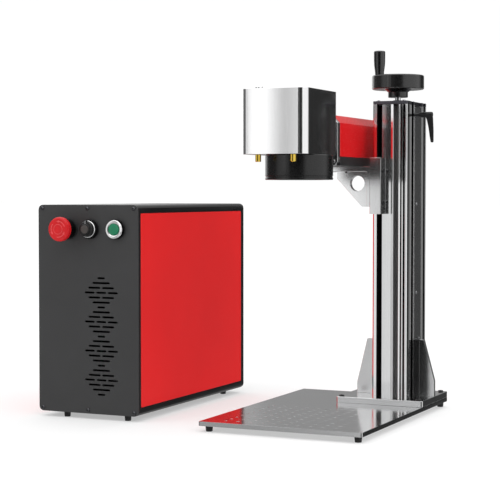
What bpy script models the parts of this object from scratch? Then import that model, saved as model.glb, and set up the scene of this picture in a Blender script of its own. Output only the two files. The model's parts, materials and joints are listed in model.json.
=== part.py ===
"""Split fibre laser engraver: a control cabinet beside a lifting stand that carries the scan head.

Layout coordinates are millimetres: +X to the right, +Y to the back, +Z up, the floor at z = 0 and
x = y = 0 at the cabinet's front right corner. LAYOUT_CENTRE moves that to the centre of the whole.
"""

import math

import bmesh
import bpy
from mathutils import Vector

MM = 0.001
LAYOUT_CENTRE = (106.5, 190.85)
GAP = 0.3

# Control cabinet
CABINET_WIDTH = 185.2
CABINET_DEPTH = 406.3
CABINET_BOTTOM = 9.0
CABINET_TOP = 347.3
CABINET_EDGE_RADIUS = 8.0
CABINET_WALL = 4.5
FRONT_PANEL_THICKNESS = 3.0
FRONT_FLANGE = 11.0
SIDE_PANEL_Y = (10.2, 389.5)
SIDE_PANEL_Z = (22.4, 334.1)
SIDE_PANEL_THICKNESS = 2.0
SIDE_PANEL_LEDGE = 8.0
REAR_PANEL_MARGIN = 14.0
CONTROL_HOLE_RADIUS = 11.3
CONTROL_Z = 308.2
ESTOP_X, SELECTOR_X, START_X = -127.5, -86.8, -38.6
SLOT_CENTRE_X = -67.5
SLOT_TOP_Z = 229.3
SLOT_PITCH = 7.85
SLOT_ROWS = 25
SLOT_HEIGHT = 3.2
SLOT_PATTERN = ((1, 14.3), (1, 32.4), (2, 47.6), (3, 61.2), (2, 47.6), (1, 32.4))
SLOT_SPACING = 2.8
PANEL_SCREWS = [(x, z) for z in (341.6, 15.0) for x in (-177.4, -92.2, -7.2)]
CABINET_FEET = [(x, y) for x in (-139.0, -25.5) for y in (12.5, 366.0)]

# Fan and inlet in the cabinet's back
FAN_CENTRE = (-118.0, 256.0)
FAN_SIZE = 80.0
FAN_DEPTH = 20.0
FAN_BLADES = 7
INLET_CENTRE = (-44.0, 56.0)
SWITCH_CENTRE = (-44.0, 92.0)
ROCKER_PIVOT_DEPTH = 4.8
ROCKER_TILT = 12.0
OUTLET_CENTRE = (-118.0, 84.0)

# Stand
BASE_X = (127.9, 395.0)
BASE_Y = (-41.6, 380.3)
BASE_Z = (9.3, 16.3)
GRID_FIRST = (164.5, -19.0)
GRID_PITCH = (20.0, 20.0)
GRID_COUNT = (10, 10)
BASE_FEET = [(x, y) for x in (140.5, 384.5) for y in (-29.0, 373.0)]
FOOT_PLATE_X = (244.5, 395.0)
FOOT_PLATE_Y = (240.7, 380.3)
FOOT_PLATE_Z = (16.6, 26.2)
FOOT_PLATE_BOLTS = [(x, y) for x in (251.5, 385.5) for y in (248.5, 372.0)]
COLUMN_X = (307.2, 367.0)
COLUMN_Y = (242.0, 343.9)
COLUMN_Z = (26.5, 511.5)
CAP_Z = (511.8, 517.2)
CAVITY_X = (314.9, 360.5)
CAVITY_Y = (263.5, 336.0)
GROOVES_Y = ((268.6, 275.8), (330.2, 336.4))
GROOVE_DEPTH = 4.5
COVER_Y = (281.8, 316.8)
COVER_THICKNESS = 1.7
SCREW_AXIS = (339.0, 277.0)
SCREW_RADIUS = 4.85
GUSSET_TOP = 123.0
GUSSET_Y = (274.5, 311.5)
GUSSET_FIN_Y = (305.0, 311.5)
GUSSET_FLANGE = 1.6

# Carriage: saddle, arm bracket, beam housing, scan head
SADDLE_X = (309.3, 328.7)
SADDLE_Y = (222.0, 241.7)
SADDLE_Z = (332.0, 424.0)
ARM_Z = (401.9, 409.5)
HOUSING_X = (180.0, 290.0)
HOUSING_Y = (139.3, 400.0)
HOUSING_TRAY_Z = (409.8, 424.0)
HOUSING_TOP = 490.4
HOUSING_CHAMFER = 12.7
HOUSING_WALL = 2.0
BEAM_X, BEAM_Z = 222.0, 470.0
HEAD_X = (181.0, 290.0)
HEAD_Y = (-4.0, 120.7)
HEAD_Z = (425.6, 525.5)
HEAD_RADIUS = 13.4
HEAD_WALL = 3.0
LENS_AXIS = (250.3, 65.1)
LENS_RADIUS = 52.9
LENS_BOTTOM = 386.8
POINTER_RADIUS = 4.5
POINTERS = {"pointer_left": (207.8, 4.6), "pointer_right": (265.9, 4.6)}

# Hand wheel and clamp lever
WHEEL_RADIUS = 43.0
WHEEL_Z = (537.6, 560.7)
HANDLE_AXIS = (310.1, 267.0)
HANDLE_TOP = 601.5
LEVER_Y, LEVER_Z = 282.0, 495.2


# ---------------------------------------------------------------- shapes

AXES = {
    "X": lambda u, v, w: (w, u, v),
    "Y": lambda u, v, w: (u, w, v),
    "Z": lambda u, v, w: (u, v, w),
}


def circle(centre, radius, count, turn=0.0):
    """Points round a circle in a plane."""
    return [
        (
            centre[0] + radius * math.cos(turn + 2 * math.pi * i / count),
            centre[1] + radius * math.sin(turn + 2 * math.pi * i / count),
        )
        for i in range(count)
    ]


def rounded(u0, u1, v0, v1, radii, steps=4):
    """A rectangle with a radius at each corner: low-low, high-low, high-high, low-high."""
    if not isinstance(radii, tuple):
        radii = (radii,) * 4
    corners = ((u0, v0, 180), (u1, v0, 270), (u1, v1, 0), (u0, v1, 90))
    points = []
    for (u, v, start), radius in zip(corners, radii):
        if radius <= 0:
            points.append((u, v))
            continue
        cu = u + radius if u == u0 else u - radius
        cv = v + radius if v == v0 else v - radius
        for i in range(steps + 1):
            angle = math.radians(start + 90 * i / steps)
            points.append((cu + radius * math.cos(angle), cv + radius * math.sin(angle)))
    return points


def prism(axis, outline, low, high, holes=()):
    """The outline, less its holes, pushed along an axis."""
    place = AXES[axis]
    shape = bmesh.new()
    edges = []
    for loop in (outline, *holes):
        verts = [shape.verts.new(place(u, v, low)) for u, v in loop]
        edges += [shape.edges.new((a, b)) for a, b in zip(verts, verts[1:] + verts[:1])]
    filled = bmesh.ops.triangle_fill(shape, use_beauty=True, use_dissolve=False, edges=edges)
    faces = [item for item in filled["geom"] if isinstance(item, bmesh.types.BMFace)]
    grown = bmesh.ops.extrude_face_region(shape, geom=faces)
    moved = [item for item in grown["geom"] if isinstance(item, bmesh.types.BMVert)]
    bmesh.ops.translate(shape, verts=moved, vec=Vector(place(0, 0, high - low)))
    bmesh.ops.recalc_face_normals(shape, faces=shape.faces)
    return shape


def block(x, y, z):
    """A box between three pairs of limits."""
    return prism("Z", rounded(*x, *y, 0), *z)


def loft(axis, sections):
    """Outlines of equal length joined one after the other, closed at both ends."""
    place = AXES[axis]
    shape = bmesh.new()
    rings = [[shape.verts.new(place(u, v, w)) for u, v in loop] for loop, w in sections]
    count = len(rings[0])
    for low, high in zip(rings, rings[1:]):
        for i in range(count):
            j = (i + 1) % count
            shape.faces.new((low[i], low[j], high[j], high[i]))
    shape.faces.new(rings[0])
    shape.faces.new(rings[-1])
    bmesh.ops.recalc_face_normals(shape, faces=shape.faces)
    return shape


def lathe(axis, centre, profile, count=24):
    """A profile of (radius, height) turned about an axis. It is closed if it stays off the axis."""
    place = AXES[axis]
    shape = bmesh.new()
    rings = []
    for radius, height in profile:
        if radius < 1e-6:
            rings.append([shape.verts.new(place(*centre, height))] * count)
        else:
            ring = circle(centre, radius, count)
            rings.append([shape.verts.new(place(u, v, height)) for u, v in ring])
    on_axis = profile[0][0] < 1e-6 and profile[-1][0] < 1e-6
    pairs = list(zip(rings, rings[1:]))
    if not on_axis:
        pairs.append((rings[-1], rings[0]))
    for low, high in pairs:
        for i in range(count):
            j = (i + 1) % count
            corners = []
            for vert in (low[i], low[j], high[j], high[i]):
                if vert not in corners:
                    corners.append(vert)
            if len(corners) > 2:
                shape.faces.new(corners)
    bmesh.ops.recalc_face_normals(shape, faces=shape.faces)
    return shape


def rod(axis, centre, radius, low, high, count=16):
    """A plain solid cylinder."""
    return lathe(axis, centre, [(0, low), (radius, low), (radius, high), (0, high)], count)


def ring(axis, centre, inner, outer, low, high, count=24):
    """A plain tube."""
    return lathe(axis, centre, [(inner, low), (outer, low), (outer, high), (inner, high)], count)


def helper_object(shape):
    mesh = bpy.data.meshes.new("helper")
    shape.to_mesh(mesh)
    shape.free()
    obj = bpy.data.objects.new("helper", mesh)
    bpy.context.scene.collection.objects.link(obj)
    return obj


def combine(shape, operation, *tools):
    """One shape after an exact union with, or cut by, each tool in turn."""
    body = helper_object(shape)
    helpers = [helper_object(tool) for tool in tools]
    for tool in helpers:
        step = body.modifiers.new(operation, "BOOLEAN")
        step.operation = operation
        step.solver = "EXACT"
        step.object = tool
    bpy.context.view_layer.update()
    evaluated = body.evaluated_get(bpy.context.evaluated_depsgraph_get())
    result = bmesh.new()
    result.from_mesh(evaluated.to_mesh())
    evaluated.to_mesh_clear()
    for obj in (body, *helpers):
        mesh = obj.data
        bpy.data.objects.remove(obj)
        bpy.data.meshes.remove(mesh)
    return result


def join(shape, *tools):
    return combine(shape, "UNION", *tools)


def cut(shape, *tools):
    return combine(shape, "DIFFERENCE", *tools)


# ---------------------------------------------------------------- materials and nodes

FINISHES = {
    "cabinet_black": ((0.022, 0.023, 0.025), 0.42, 0.0),
    "panel_grey": ((0.085, 0.085, 0.087), 0.5, 0.0),
    "panel_red": ((0.60, 0.015, 0.018), 0.3, 0.0),
    "rubber": ((0.015, 0.015, 0.015), 0.8, 0.0),
    "estop_black": ((0.012, 0.012, 0.012), 0.4, 0.0),
    "estop_red": ((0.66, 0.03, 0.035), 0.35, 0.0),
    "chrome": ((0.82, 0.82, 0.83), 0.08, 1.0),
    "knob_black": ((0.02, 0.02, 0.02), 0.35, 0.0),
    "start_green": ((0.02, 0.36, 0.17), 0.3, 0.0),
    "module_aluminium": ((0.62, 0.63, 0.65), 0.4, 1.0),
    "psu_steel": ((0.55, 0.56, 0.57), 0.38, 1.0),
    "board_green": ((0.02, 0.13, 0.06), 0.5, 0.0),
    "fan_black": ((0.02, 0.02, 0.021), 0.5, 0.0),
    "plate_aluminium": ((0.66, 0.67, 0.68), 0.3, 1.0),
    "column_aluminium": ((0.66, 0.67, 0.69), 0.26, 1.0),
    "cap_dark": ((0.07, 0.07, 0.08), 0.4, 0.6),
    "bracket_aluminium": ((0.70, 0.71, 0.72), 0.3, 1.0),
    "screw_steel": ((0.6, 0.6, 0.61), 0.22, 1.0),
    "brass": ((0.80, 0.58, 0.20), 0.25, 1.0),
    "housing_black": ((0.03, 0.03, 0.032), 0.4, 0.0),
    "housing_red": ((0.62, 0.012, 0.016), 0.28, 0.0),
    "head_metal": ((0.78, 0.78, 0.79), 0.2, 1.0),
    "motor_black": ((0.04, 0.04, 0.042), 0.45, 0.3),
    "mirror": ((0.92, 0.88, 0.74), 0.02, 1.0),
    "lens_black": ((0.014, 0.014, 0.015), 0.32, 0.0),
    "lens_glass": ((0.55, 0.62, 0.72), 0.03, 0.0),
    "wheel_black": ((0.018, 0.018, 0.019), 0.38, 0.0),
}


def make_material(name):
    colour, roughness, metallic = FINISHES[name]
    material = bpy.data.materials.new(name)
    material.diffuse_color = (*colour, 1.0)
    material.use_nodes = True
    shader = material.node_tree.nodes["Principled BSDF"]
    shader.inputs["Base Color"].default_value = (*colour, 1.0)
    shader.inputs["Roughness"].default_value = roughness
    shader.inputs["Metallic"].default_value = metallic
    return material


def add(name, shape, finish, pivot=(0.0, 0.0, 0.0), smooth=True):
    """Makes a node from a shape in layout millimetres, its origin at the pivot."""
    origin = Vector(pivot)
    for vert in shape.verts:
        vert.co = (vert.co - origin) * MM
    mesh = bpy.data.meshes.new(name)
    shape.to_mesh(mesh)
    shape.free()
    obj = bpy.data.objects.new(name, mesh)
    obj.location = (
        (origin.x - LAYOUT_CENTRE[0]) * MM,
        (origin.y - LAYOUT_CENTRE[1]) * MM,
        origin.z * MM,
    )
    bpy.context.scene.collection.objects.link(obj)
    material = bpy.data.materials.get(finish) or make_material(finish)
    mesh.materials.append(material)
    if smooth:
        mesh.shade_smooth()
        mesh.set_sharp_from_angle(angle=math.radians(35))
    return obj


# ---------------------------------------------------------------- cabinet

def cabinet_outline(inset):
    radius = max(CABINET_EDGE_RADIUS - inset, 0.6)
    return rounded(
        -CABINET_WIDTH + inset,
        -inset,
        CABINET_BOTTOM + inset,
        CABINET_TOP - inset,
        radius,
    )


def cabinet_shell():
    """A case open at the front, with windows for its side and rear panels."""
    front = FRONT_PANEL_THICKNESS + GAP
    radius = CABINET_EDGE_RADIUS
    sections = [(cabinet_outline(0.0), front)]
    for i in range(5):
        angle = math.radians(90 * i / 4)
        inset = radius * (1 - math.cos(angle)) * 0.92
        sections.append((cabinet_outline(inset), CABINET_DEPTH - radius * (1 - math.sin(angle))))
    shell = loft("Y", sections)
    left, right = -CABINET_WIDTH, 0.0
    low, high = CABINET_BOTTOM, CABINET_TOP
    wall, flange, margin = CABINET_WALL, FRONT_FLANGE, REAR_PANEL_MARGIN
    inside = block((left + wall, right - wall), (12.0, CABINET_DEPTH - 4.5), (low + wall, high - wall))
    mouth = block((left + flange, right - flange), (0.0, 13.0), (low + flange, high - flange))
    back_y = (CABINET_DEPTH - 10.0, CABINET_DEPTH + 2.0)
    back = block((left + margin + 6, right - margin - 6), back_y, (low + margin + 6, high - margin - 6))
    recess_y = (CABINET_DEPTH - 2.3, CABINET_DEPTH + 2.0)
    recess = block((left + margin, right - margin), recess_y, (low + margin, high - margin))
    tools = [inside, mouth, back, recess]
    for outer, inner in (((right - 2.3, right + 2), (right - 9, right + 2)),
                         ((left - 2, left + 2.3), (left - 2, left + 9))):
        tools.append(block(outer, SIDE_PANEL_Y, SIDE_PANEL_Z))
        ledge = SIDE_PANEL_LEDGE
        y = (SIDE_PANEL_Y[0] + ledge, SIDE_PANEL_Y[1] - ledge)
        z = (SIDE_PANEL_Z[0] + ledge, SIDE_PANEL_Z[1] - ledge)
        tools.append(block(inner, y, z))
    return cut(shell, *tools)


def slot_outline(centre, z, width):
    half = width / 2 - SLOT_HEIGHT / 2
    radius = SLOT_HEIGHT / 2
    points = []
    for side, start in ((1, -90), (-1, 90)):
        for i in range(4):
            angle = math.radians(start + 60 * i)
            points.append((
                centre + side * half + radius * math.cos(angle),
                z + radius * math.sin(angle),
            ))
    return points


def vent_slots():
    """Rows of slots that grow and shrink again, in a chain of diamonds."""
    holes = []
    for row in range(SLOT_ROWS):
        count, total = SLOT_PATTERN[row % len(SLOT_PATTERN)]
        width = (total - (count - 1) * SLOT_SPACING) / count
        z = SLOT_TOP_Z - row * SLOT_PITCH
        for i in range(count):
            start = SLOT_CENTRE_X - total / 2 + i * (width + SLOT_SPACING)
            holes.append(slot_outline(start + width / 2, z, width))
    return holes


def build_cabinet_case():
    add("cabinet_shell", cabinet_shell(), "cabinet_black")
    controls = [(x, CONTROL_Z) for x in (ESTOP_X, SELECTOR_X, START_X)]
    holes = vent_slots()
    holes += [circle(place, CONTROL_HOLE_RADIUS, 20) for place in controls]
    holes += [circle(place, 1.8, 8) for place in PANEL_SCREWS]
    panel = prism("Y", cabinet_outline(0.0), 0.0, FRONT_PANEL_THICKNESS, holes)
    add("front_panel", panel, "panel_grey", smooth=False)
    y = (SIDE_PANEL_Y[0] + GAP, SIDE_PANEL_Y[1] - GAP)
    z = (SIDE_PANEL_Z[0] + GAP, SIDE_PANEL_Z[1] - GAP)
    outline = rounded(*y, *z, 2.5, 3)
    right = prism("X", outline, -SIDE_PANEL_THICKNESS, 0.0)
    add("side_panel_right", right, "panel_red", smooth=False)
    left = prism("X", outline, -CABINET_WIDTH, -CABINET_WIDTH + SIDE_PANEL_THICKNESS)
    add("side_panel_left", left, "panel_red", smooth=False)
    for index, place in enumerate(CABINET_FEET):
        foot = lathe("Z", place, [(0, 0), (4.6, 0), (5.0, 0.6), (5.6, 8.7), (0, 8.7)], 16)
        add(f"cabinet_foot_{index + 1}", foot, "rubber")


def build_rear_panel():
    margin = REAR_PANEL_MARGIN + GAP
    outline = rounded(
        -CABINET_WIDTH + margin, -margin, CABINET_BOTTOM + margin, CABINET_TOP - margin, 0
    )
    front, back = CABINET_DEPTH - 2.0, CABINET_DEPTH
    half = (14.2, 10.2)
    inlet = rounded(
        INLET_CENTRE[0] - half[0], INLET_CENTRE[0] + half[0],
        INLET_CENTRE[1] - half[1], INLET_CENTRE[1] + half[1], 0,
    )
    switch = rounded(
        SWITCH_CENTRE[0] - 6.9, SWITCH_CENTRE[0] + 6.9,
        SWITCH_CENTRE[1] - 9.7, SWITCH_CENTRE[1] + 9.7, 0,
    )
    holes = [inlet, switch, circle(OUTLET_CENTRE, 8.3, 16)]
    for radius in (12.0, 20.5, 29.0, 36.0):
        count = max(6, int(radius / 2.3))
        holes += [circle(spot, 2.6, 6) for spot in circle(FAN_CENTRE, radius, count)]
    add("rear_panel", prism("Y", outline, front, back, holes), "panel_grey", smooth=False)

    # The mains inlet and its switch come out 2 mm behind the panel.
    body = block((INLET_CENTRE[0] - 13.8, INLET_CENTRE[0] + 13.8), (378.0, back),
                 (INLET_CENTRE[1] - 9.8, INLET_CENTRE[1] + 9.8))
    rim = block((INLET_CENTRE[0] - 17, INLET_CENTRE[0] + 17), (back + GAP, back + 3.3),
                (INLET_CENTRE[1] - 12.5, INLET_CENTRE[1] + 12.5))
    neck = block((INLET_CENTRE[0] - 13.8, INLET_CENTRE[0] + 13.8), (back - 1, back + 1),
                 (INLET_CENTRE[1] - 9.8, INLET_CENTRE[1] + 9.8))
    socket_outline = [(-11, -7), (11, -7), (11, 4), (7.5, 7.6), (-7.5, 7.6), (-11, 4)]
    socket_outline = [(INLET_CENTRE[0] + u, INLET_CENTRE[1] + v) for u, v in socket_outline]
    socket = prism("Y", socket_outline, 390.0, back + 5)
    inlet_body = cut(join(body, neck, rim), socket)
    pins = [block((INLET_CENTRE[0] + u - 1, INLET_CENTRE[0] + u + 1), (388.0, 404.0),
                  (INLET_CENTRE[1] + v - 2.2, INLET_CENTRE[1] + v + 2.2))
            for u, v in ((-6.5, -2), (6.5, -2), (0, 2.5))]
    add("power_inlet", join(inlet_body, *pins), "fan_black", smooth=False)

    # The rocker rests with its upper end pressed in.
    pivot = (back - ROCKER_PIVOT_DEPTH, SWITCH_CENTRE[1])
    section = []
    for angle, radius in ((60, 9.3), (0, 5.4), (-60, 9.3), (-85, 9.3), (-120, 6.5), (180, 4.0),
                          (120, 6.5), (85, 9.3)):
        turn = math.radians(angle + ROCKER_TILT)
        section.append((pivot[0] + radius * math.cos(turn), pivot[1] + radius * math.sin(turn)))
    rocker = prism("X", section, SWITCH_CENTRE[0] - 6.5, SWITCH_CENTRE[0] + 6.5)
    add("power_switch", rocker, "estop_red", (SWITCH_CENTRE[0], *pivot), False)

    gland = [(3.2, 396.0), (8.0, 396.0), (8.0, back + GAP), (12.0, back + GAP),
             (12.0, back + 5), (9.0, back + 6), (8.4, back + 15), (6.8, back + 17), (3.2, back + 17)]
    add("fibre_outlet", lathe("Y", OUTLET_CENTRE, gland, 16), "screw_steel")


def fan_blade(index, middle_y):
    """One twisted blade, from the hub out to just inside the frame."""
    angle = 2 * math.pi * index / FAN_BLADES
    outward = Vector((math.cos(angle), 0, math.sin(angle)))
    sideways = Vector((-math.sin(angle), 0, math.cos(angle)))
    backward = Vector((0, 1, 0))
    centre = Vector((FAN_CENTRE[0], middle_y, FAN_CENTRE[1]))
    shape = bmesh.new()
    rings = []
    for step in range(3):
        lean = math.radians(52 - 8 * step)
        reach = 7.5 + 1.2 * step
        chord = sideways * (reach * math.cos(lean)) + backward * (6.0 * math.sin(lean))
        thick = (sideways * math.sin(lean) - backward * math.cos(lean)) * 0.6
        middle = centre + outward * (13.5 + 11.4 * step)
        corners = (-chord - thick, chord - thick, chord + thick, thick - chord)
        rings.append([shape.verts.new(middle + corner) for corner in corners])
    for low, high in zip(rings, rings[1:]):
        for a in range(4):
            b = (a + 1) % 4
            shape.faces.new((low[a], low[b], high[b], high[a]))
    shape.faces.new(rings[0])
    shape.faces.new(rings[-1])
    bmesh.ops.recalc_face_normals(shape, faces=shape.faces)
    return shape


def build_fan():
    half = FAN_SIZE / 2
    u, v = FAN_CENTRE
    back = CABINET_DEPTH - 2.0 - GAP
    front = back - FAN_DEPTH
    square = rounded(u - half, u + half, v - half, v + half, 5, 3)
    tunnel = prism("Y", square, front, back, [circle(FAN_CENTRE, 37.5, 32)])
    windows = []
    for i in range(4):
        points = []
        for radius, first, last in ((36.8, 6, 84), (15, 80, 10)):
            for k in range(6):
                angle = math.radians(45 + 90 * i + first + (last - first) * k / 5)
                points.append((u + radius * math.cos(angle), v + radius * math.sin(angle)))
        windows.append(points)
    spider = prism("Y", circle(FAN_CENTRE, 38.5, 32), front, front + 2.5, windows)
    axle = rod("Y", FAN_CENTRE, 2.0, front + 1.5, front + 12.0, 10)
    add("fan_frame", join(tunnel, spider, axle), "fan_black")

    hub = cut(
        lathe("Y", FAN_CENTRE, [(0, front + 3.5), (15.0, front + 3.5), (15.0, back - 3.2),
                                (13.5, back - 2.2), (0, back - 2.2)], 24),
        rod("Y", FAN_CENTRE, 2.4, front + 3.0, front + 13.0, 10),
    )
    blades = [fan_blade(i, (front + back) / 2 + 0.3) for i in range(FAN_BLADES)]
    add("fan_rotor", join(hub, *blades), "fan_black", (u, (front + back) / 2, v))


def build_cabinet_modules():
    """What makes the beam and the power, standing on the cabinet's floor."""
    floor = CABINET_BOTTOM + CABINET_WALL + GAP
    left, right, fin_count = -172.0, -100.0, 9
    fin_pitch = (right - left) / fin_count
    section = [(left, floor), (right, floor)]
    for i in range(fin_count):
        edge = right - i * fin_pitch
        inner = edge - fin_pitch * 0.45
        section += [(edge, floor + 66), (inner, floor + 66), (inner, floor + 52)]
        if i < fin_count - 1:
            section.append((edge - fin_pitch, floor + 52))
    section.append((left, floor + 52))
    add("laser_source", prism("Y", section, 60.0, 330.0), "module_aluminium", smooth=False)
    supply = join(
        block((-84.0, -18.0), (60.0, 240.0), (floor, floor + 44)),
        block((-80.0, -22.0), (48.0, 62.0), (floor, floor + 18)),
    )
    add("power_supply", supply, "psu_steel", smooth=False)
    board_z = floor + 118
    board = block((-160.0, -40.0), (60.0, 230.0), (board_z, board_z + 1.6))
    posts = [rod("Z", (x, y), 3.0, floor + 66.4, board_z + 0.5, 8)
             for x in (-153.5, -105.5) for y in (66.0, 224.0)]
    chips = [block(x, y, (board_z + 1.0, board_z + rise)) for x, y, rise in (
        ((-150.0, -126.0), (90.0, 114.0), 5.0),
        ((-110.0, -84.0), (120.0, 140.0), 8.0),
        ((-70.0, -46.0), (70.0, 90.0), 14.0),
        ((-150.0, -96.0), (190.0, 200.0), 11.0),
        ((-76.0, -50.0), (170.0, 206.0), 18.0),
    )]
    add("control_board", join(board, *posts, *chips), "board_green", smooth=False)


def build_controls():
    """The three controls on the front panel. Each works along or about its own Y axis."""
    place = (ESTOP_X, CONTROL_Z)
    collar = [(9.2, 24.0), (10.9, 24.0), (10.9, -GAP), (15.6, -GAP), (15.6, -3.0), (15.0, -3.6),
              (15.0, -15.2), (14.2, -16.0), (9.2, -16.0)]
    add("estop_collar", lathe("Y", place, collar, 32), "estop_black")
    button = [(0, 18.0), (8.6, 18.0), (8.6, -22.4), (17.4, -22.7), (19.1, -23.1), (19.6, -24.0),
              (19.6, -29.4), (18.8, -31.3), (16.8, -32.5), (12.0, -32.9), (0, -33.1)]
    add("estop_button", lathe("Y", place, button, 32), "estop_red", (ESTOP_X, 0.0, CONTROL_Z))

    place = (SELECTOR_X, CONTROL_Z)
    bezel = [(9.2, 24.0), (10.9, 24.0), (10.9, -GAP), (14.9, -GAP), (14.9, -6.8), (14.0, -7.4),
             (13.9, -9.9), (13.3, -10.6), (12.4, -10.7), (12.0, -10.2), (12.0, -4.0), (9.2, -4.0)]
    add("selector_bezel", lathe("Y", place, bezel, 32), "chrome")
    knob = lathe("Y", place, [(0, 20.0), (8.6, 20.0), (8.6, -4.6), (11.5, -4.6), (11.5, -11.0),
                              (12.2, -11.6), (12.2, -14.6), (11.6, -15.6), (9.2, -16.0),
                              (8.8, -18.2), (8.2, -18.9), (0, -18.9)], 28)
    pointer = prism("Y", [(SELECTOR_X - 4.0, CONTROL_Z + 7.0), (SELECTOR_X + 4.0, CONTROL_Z + 7.0),
                          (SELECTOR_X + 1.4, CONTROL_Z + 14.0), (SELECTOR_X - 1.4, CONTROL_Z + 14.0)],
                    -16.6, -11.3)
    add("selector_knob", join(knob, pointer), "knob_black", (SELECTOR_X, 0.0, CONTROL_Z))

    place = (START_X, CONTROL_Z)
    bezel = [(8.9, 24.0), (10.9, 24.0), (10.9, -GAP), (15.0, -GAP), (15.0, -8.8), (14.4, -9.8),
             (11.4, -10.0), (9.7, -9.4), (9.7, -3.4), (8.9, -3.4)]
    add("start_bezel", lathe("Y", place, bezel, 32), "chrome")
    cap = [(0, 18.0), (8.4, 18.0), (8.4, -7.0), (9.3, -7.4), (9.3, -9.9), (8.8, -10.6),
           (7.8, -10.9), (0, -10.9)]
    add("start_button", lathe("Y", place, cap, 28), "start_green", (START_X, 0.0, CONTROL_Z))


# ---------------------------------------------------------------- stand

def side_profile():
    """The column's right side from front to back: lands that slope gently to two grooves."""
    right = COLUMN_X[1]
    bottom = right - GROOVE_DEPTH
    first, second = GROOVES_Y
    recess = right - COVER_THICKNESS - GAP
    return [
        (right, 243.0), (right, 250.5), (right - 0.25, 257.5), (right - 1.2, first[0]),
        (bottom, first[0]), (bottom, first[1]), (right, first[1]), (right - 0.65, COVER_Y[0] - GAP),
        (recess, COVER_Y[0] - GAP), (recess, COVER_Y[1] + GAP), (right, COVER_Y[1] + GAP),
        (right - 0.9, second[0]), (bottom, second[0]), (bottom, second[1]), (right, second[1]),
    ]


def left_and_back():
    """The rest of the outside, from the right rear corner round to the left front one."""
    left, right = COLUMN_X
    front, back = COLUMN_Y
    bottom = left + GROOVE_DEPTH
    points = [(right - 0.6, back - 0.4), (right - 1.1, back), (left + 1.5, back), (left, back - 1.5)]
    for y0, y1 in reversed(GROOVES_Y):
        points += [(left, y1), (bottom, y1), (bottom, y0), (left, y0)]
    return points + [(left, front + 3.0), (left + 3.0, front)]


def column_outline():
    """An open profile: the slot in its front left leads into the hollow where the screw runs."""
    front = COLUMN_Y[0]
    hollow_left, hollow_right = CAVITY_X
    hollow_front, hollow_back = CAVITY_Y
    face = [
        (hollow_left, front + 0.13), (hollow_left, hollow_back), (hollow_right, hollow_back),
        (hollow_right, hollow_front), (322.5, hollow_front), (322.5, 244.4), (323.8, 243.2),
        (338.8, 243.4), (342.4, 243.0), (342.8, 243.4), (342.8, 260.0), (350.9, 260.0),
        (350.9, 246.5), (353.8, 246.6), (353.8, 256.0), (356.2, 256.0), (356.2, 246.5),
        (358.8, 246.5), (358.8, 259.0), (363.4, 259.0), (363.4, front), (COLUMN_X[1] - 0.8, front),
    ]
    return face + side_profile() + left_and_back()


def build_base():
    holes = []
    for column in range(GRID_COUNT[0]):
        for row in range(GRID_COUNT[1]):
            place = (GRID_FIRST[0] + column * GRID_PITCH[0], GRID_FIRST[1] + row * GRID_PITCH[1])
            holes.append(circle(place, 2.5, 6))
    plate = prism("Z", rounded(*BASE_X, *BASE_Y, 2.0, 2), *BASE_Z, holes)
    add("base_plate", plate, "plate_aluminium", smooth=False)
    for index, place in enumerate(BASE_FEET):
        foot = lathe("Z", place, [(0, 0), (4.7, 0), (5.1, 0.6), (6.0, 9.0), (0, 9.0)], 16)
        add(f"base_foot_{index + 1}", foot, "rubber")
    bolt_holes = [circle(place, 3.3, 10) for place in FOOT_PLATE_BOLTS]
    plate = prism("Z", rounded(*FOOT_PLATE_X, *FOOT_PLATE_Y, 2.5, 2), *FOOT_PLATE_Z, bolt_holes)
    add("column_plate", plate, "plate_aluminium", smooth=False)


def build_column():
    bore = rod("X", (LEVER_Y, LEVER_Z), 3.2, 355.0, 375.0, 12)
    column = cut(prism("Z", column_outline(), *COLUMN_Z), bore)
    add("column", column, "column_aluminium", smooth=False)
    front_edge = [(COLUMN_X[1] - 0.8, COLUMN_Y[0])]
    cap = prism("Z", front_edge + side_profile() + left_and_back(), *CAP_Z,
                [circle(SCREW_AXIS, 6.2, 24)])
    boss = ring("Z", SCREW_AXIS, 11.4, 13.1, 498.0, CAP_Z[0] + 1.0)
    add("column_cap", join(cap, boss), "cap_dark")
    add("upper_bearing", ring("Z", SCREW_AXIS, 5.15, 11.1, 499.0, 508.0), "screw_steel")
    lower = prism("Z", rounded(319.0, 357.0, 264.5, 296.0, 0), 26.5, 38.5,
                  [circle(SCREW_AXIS, 5.15, 24)])
    add("lower_bearing", lower, "cap_dark", smooth=False)
    outer = COLUMN_X[1]
    cover = cut(
        block((outer - COVER_THICKNESS, outer), COVER_Y, (125.5, 508.0)),
        rod("X", (LEVER_Y, LEVER_Z), 3.4, outer - 4, outer + 2, 12),
    )
    add("side_cover", cover, "bracket_aluminium", smooth=False)


def build_gussets():
    """An angle bracket each side: a flange flat on the column and a fin across the plate."""
    low = FOOT_PLATE_Z[1] + GAP
    side = COLUMN_X[1] + GAP
    right = join(
        block((side, side + GUSSET_FLANGE), GUSSET_Y, (low, GUSSET_TOP)),
        prism("Y", [(side + 0.8, low), (394.9, low), (394.9, 52.6), (376.5, GUSSET_TOP - 2.2),
                    (side + 0.8, GUSSET_TOP - 2.2)], *GUSSET_FIN_Y),
    )
    add("gusset_right", right, "bracket_aluminium", smooth=False)
    side = COLUMN_X[0] - GAP
    top = GUSSET_TOP - 3.6
    left = join(
        block((side - GUSSET_FLANGE, side), GUSSET_Y, (low, top)),
        prism("Y", [(side - 0.8, low), (258.2, low), (258.2, 44.3), (276.2, top), (side - 0.8, top)],
              *GUSSET_FIN_Y),
    )
    add("gusset_left", left, "bracket_aluminium", smooth=False)


# ---------------------------------------------------------------- carriage

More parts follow.
